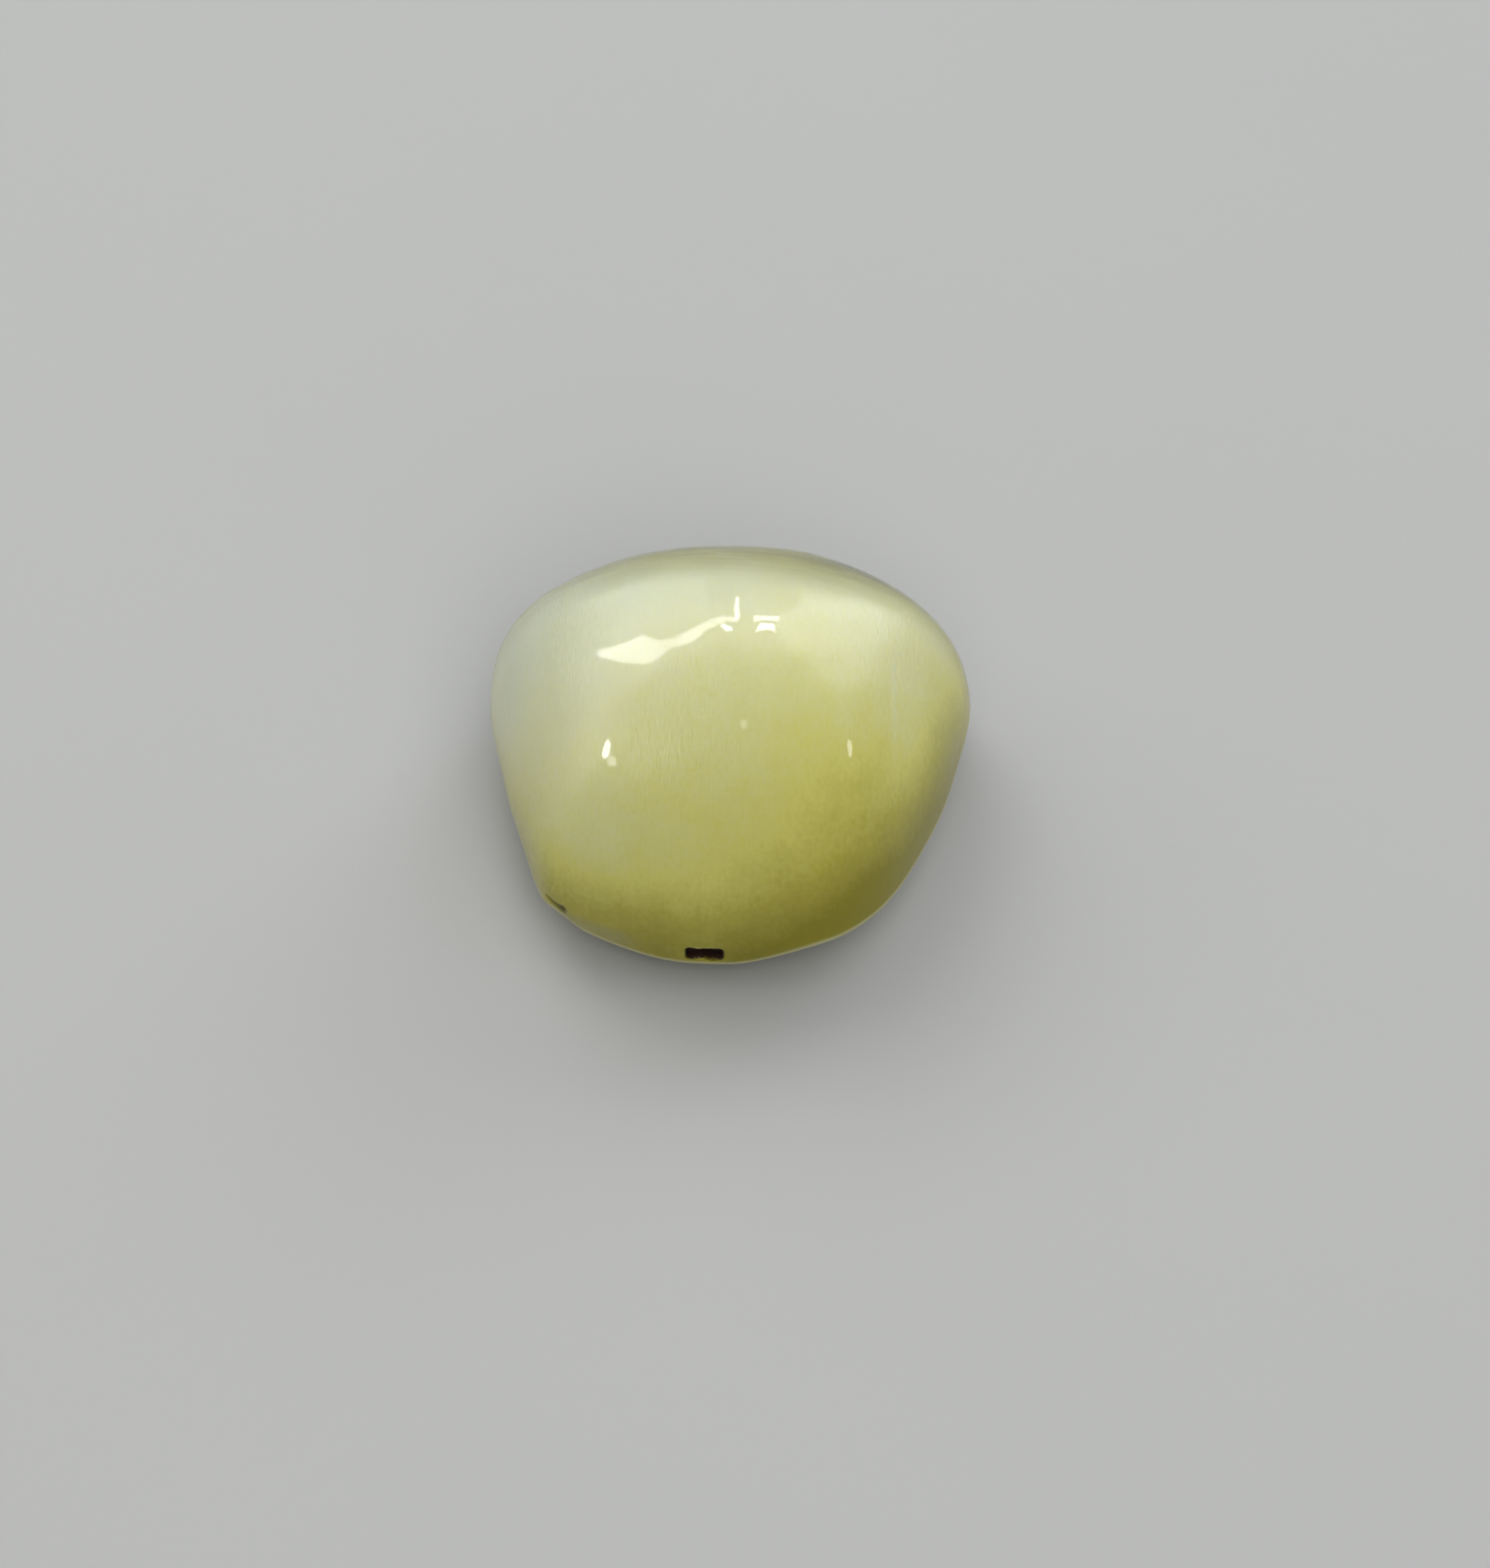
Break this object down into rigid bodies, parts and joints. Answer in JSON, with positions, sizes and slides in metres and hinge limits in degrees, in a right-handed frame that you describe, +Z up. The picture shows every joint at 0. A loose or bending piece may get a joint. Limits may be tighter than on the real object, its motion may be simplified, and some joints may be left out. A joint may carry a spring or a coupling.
{
  "type": "quartz cat's eye",
  "caption": "Polished pale yellow-green fibrous quartz with a high dome on a rounded shield-shaped plan, resting on a small flat spot of its shallow back.",
  "frame": {"origin": "on the resting plane, under the middle of the stone's box", "axes": "+Z up through the dome, +Y towards the wide back end, -Y towards the narrow near end, +X to the right seen from that end"},
  "size_m": [0.0122, 0.0116, 0.0069],
  "materials": {
    "cats_eye_quartz": "polished"
  },
  "bodies": {
    "root": {"stone": "cats_eye_quartz"}
  },
  "joints": []
}
